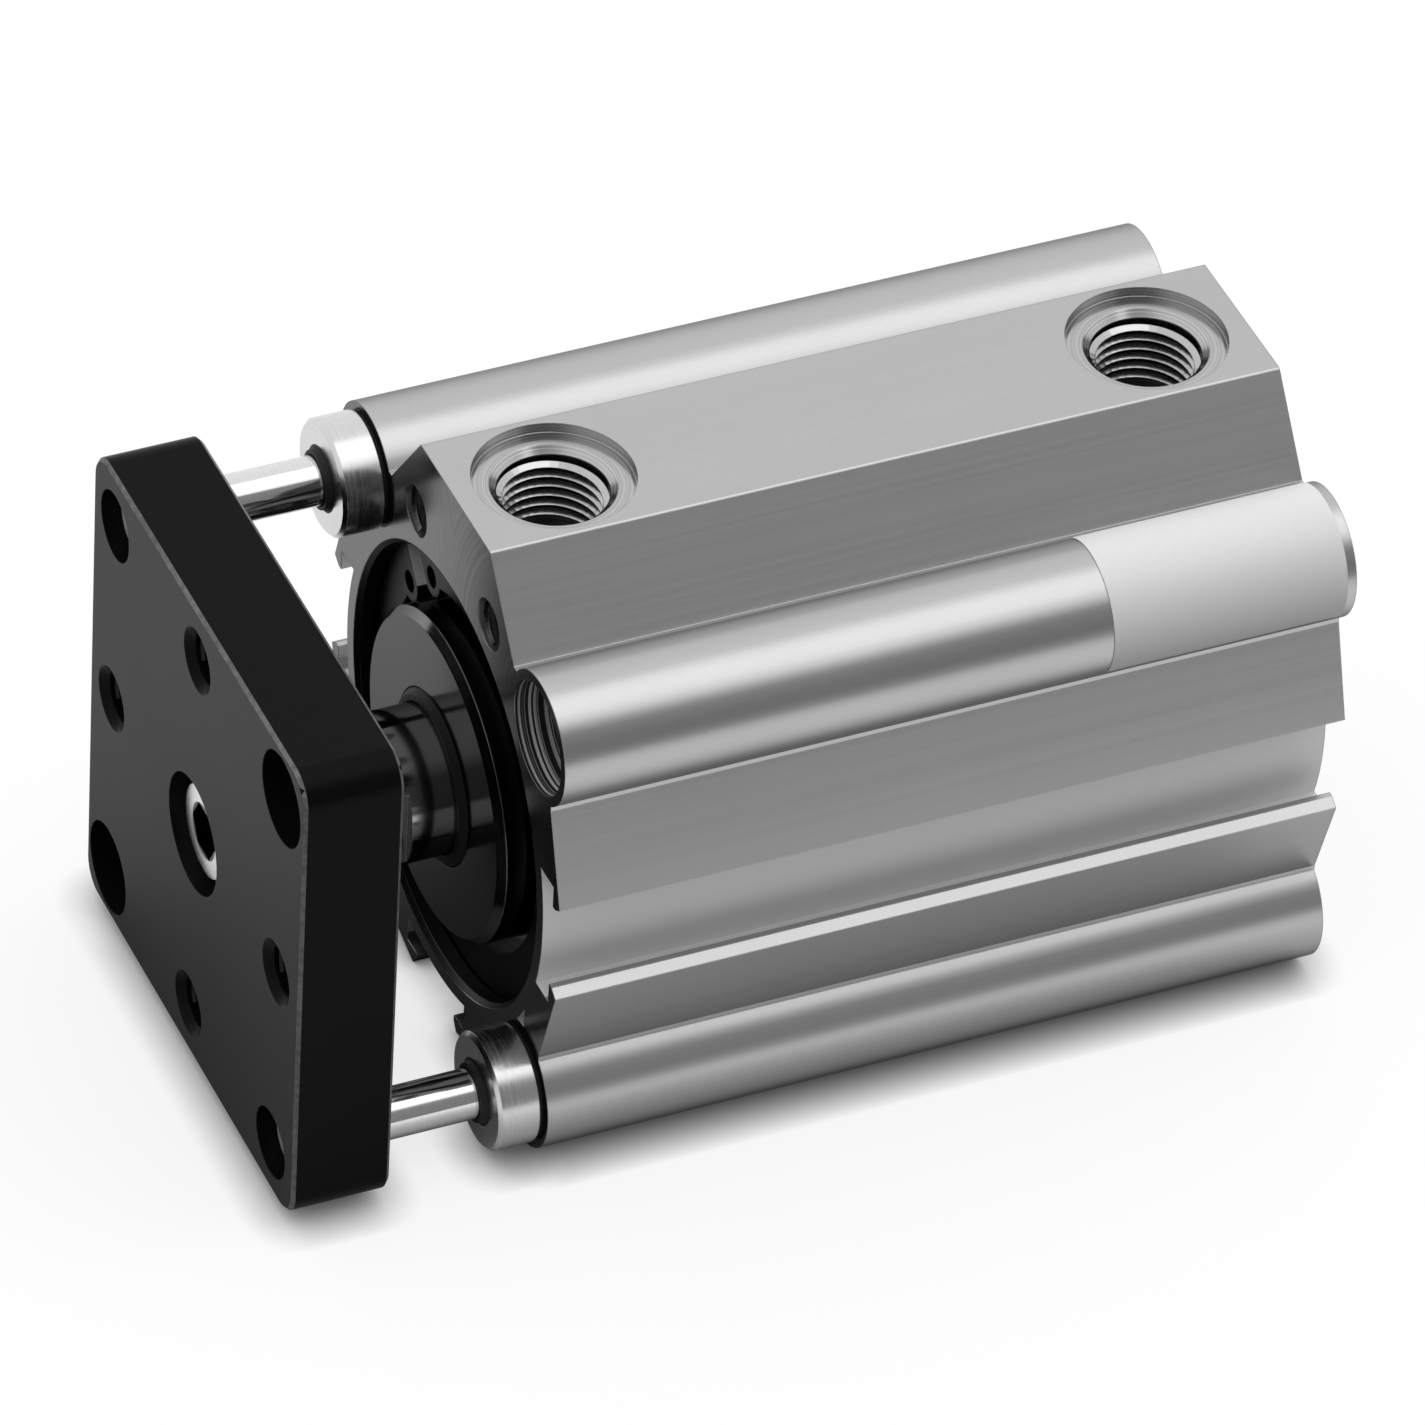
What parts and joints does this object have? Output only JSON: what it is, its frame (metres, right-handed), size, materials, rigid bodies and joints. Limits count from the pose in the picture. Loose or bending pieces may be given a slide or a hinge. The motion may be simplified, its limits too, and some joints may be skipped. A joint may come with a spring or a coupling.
{
  "type": "short-stroke cylinder",
  "caption": "Short-stroke pneumatic cylinder with a square profiled body, guide rods, a front plate, top ports and sensor rails.",
  "frame": {"origin": "centre of the body's front face, on the piston rod's axis", "axes": "+X is the way the piston rod comes out, +Z points to the platform with the ports"},
  "size_m": [0.0855, 0.045, 0.0495],
  "materials": {
    "clear_anodised": "satin anodised",
    "cover_alloy": "turned, grey anodised",
    "black_anodised": "matt black anodised",
    "black_spring_steel": "blackened",
    "steel": "turned",
    "chromed_steel": "ground and chromed",
    "bronze": "sintered",
    "rubber": "matt",
    "bumper_plastic": "matt",
    "label_film": "satin film, no print",
    "magnet_plastic": "matt"
  },
  "bodies": {
    "housing": {"cylinder_body": "clear_anodised", "front_cover": "cover_alloy", "front_cover_seal": "rubber", "front_circlip": "black_spring_steel", "front_bumper": "bumper_plastic", "rod_bearing": "bronze", "rod_seal": "rubber", "rod_wiper": "rubber", "rear_cover": "cover_alloy", "rear_cover_seal": "rubber", "rear_circlip": "black_spring_steel", "rear_bumper": "bumper_plastic", "guide_bush_upper": "steel", "guide_bush_lower": "steel", "guide_liner_upper": "bronze", "guide_liner_lower": "bronze", "guide_wiper_upper": "rubber", "guide_wiper_lower": "rubber", "guide_gasket_upper": "rubber", "guide_gasket_lower": "rubber"},
    "slide": {"front_plate": "black_anodised", "rod_screw": "steel", "piston_rod": "chromed_steel", "guide_rod_upper": "chromed_steel", "guide_rod_lower": "chromed_steel", "guide_rod_screw_upper": "steel", "guide_rod_screw_lower": "steel", "piston": "cover_alloy", "piston_seal_front": "rubber", "piston_seal_rear": "rubber", "piston_magnet": "magnet_plastic", "piston_guide_ring": "bumper_plastic", "piston_static_seal": "rubber", "piston_screw": "steel"}
  },
  "joints": [
    {"name": "plate_slide", "type": "slide", "parent": "housing", "child": "slide", "axis": [1, 0, 0], "range_m": [0, 0.025]}
  ]
}
